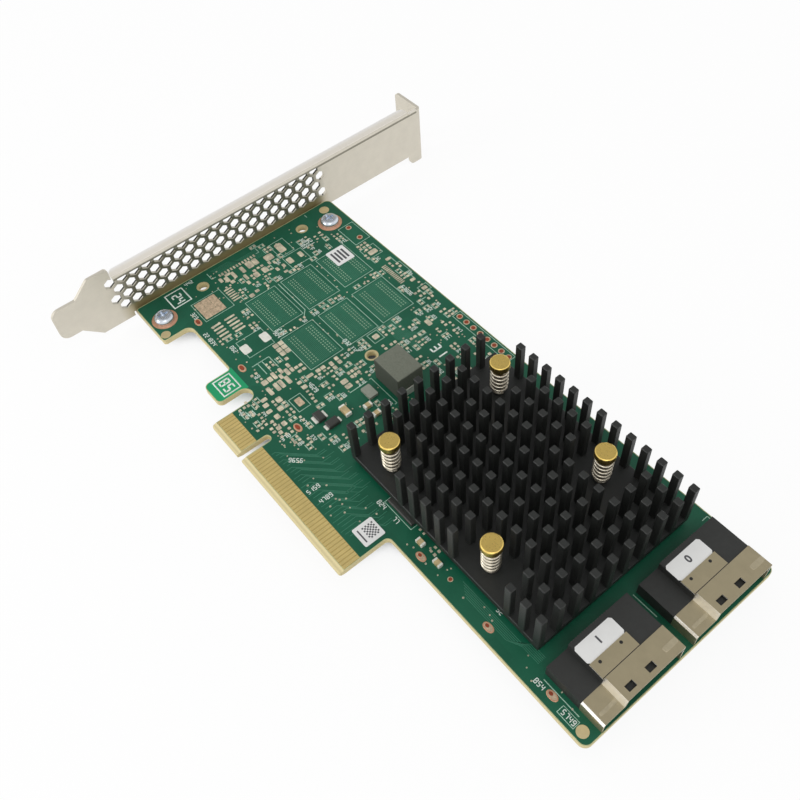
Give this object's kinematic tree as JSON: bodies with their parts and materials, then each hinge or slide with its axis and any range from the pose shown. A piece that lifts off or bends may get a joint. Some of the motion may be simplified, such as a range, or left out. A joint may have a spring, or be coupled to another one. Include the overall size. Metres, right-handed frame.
{
  "type": "host bus adapter",
  "caption": "Plug-in storage adapter card: green board on a full-height perforated bracket, with a black pin-fin heat sink on sprung push pins and right-angle cable ports.",
  "frame": {"origin": "middle of the key notch, at the tip of the contact tongue, halfway through the board's thickness", "axes": "+X along the card from the bracket to the cable ports, +Y from the contact tongue to the top edge, +Z out of the component side"},
  "size_m": [0.1676, 0.1209, 0.0217],
  "materials": {
    "board": "green solder mask over glass-fibre laminate, pale cut edges",
    "gold_contact": "gold plate",
    "bracket_steel": "satin nickel plate",
    "screw_steel": "bright nickel plate",
    "sink_black": "black anodised",
    "pin_brass": "turned brass",
    "spring_steel": "nickel-plated wire",
    "port_black": "moulded, matt",
    "port_shell": "champagne nickel plate",
    "port_contact": "gold plate over tin tails",
    "sticker": "white film",
    "package": "package laminate",
    "lid_metal": "nickel-plated lid",
    "thermal_pad": "soft grey pad",
    "inductor_body": "pressed powder, matt",
    "tin": "tinned",
    "chip_black": "moulded compound",
    "capacitor": "fired ceramic with tinned ends"
  },
  "bodies": {
    "root": {"circuit_board": "board", "edge_contacts_top": "gold_contact", "edge_contacts_bottom": "gold_contact", "bracket": "bracket_steel", "bracket_screws": "screw_steel", "controller_package": "package", "controller_lid": "lid_metal", "thermal_pad": "thermal_pad", "heat_sink": "sink_black", "push_pins": "pin_brass", "push_pin_springs": "spring_steel", "port_0_housing": "port_black", "port_0_shell": "port_shell", "port_0_contacts": "port_contact", "port_0_label": "sticker", "port_1_housing": "port_black", "port_1_shell": "port_shell", "port_1_contacts": "port_contact", "port_1_label": "sticker", "power_inductor": "inductor_body", "inductor_terminals": "tin", "voltage_regulator": "chip_black", "diodes": "chip_black", "memory_chip": "chip_black", "ceramic_capacitors": "capacitor", "underside_capacitors": "capacitor", "edge_label": "sticker", "board_sticker": "sticker"}
  },
  "joints": []
}
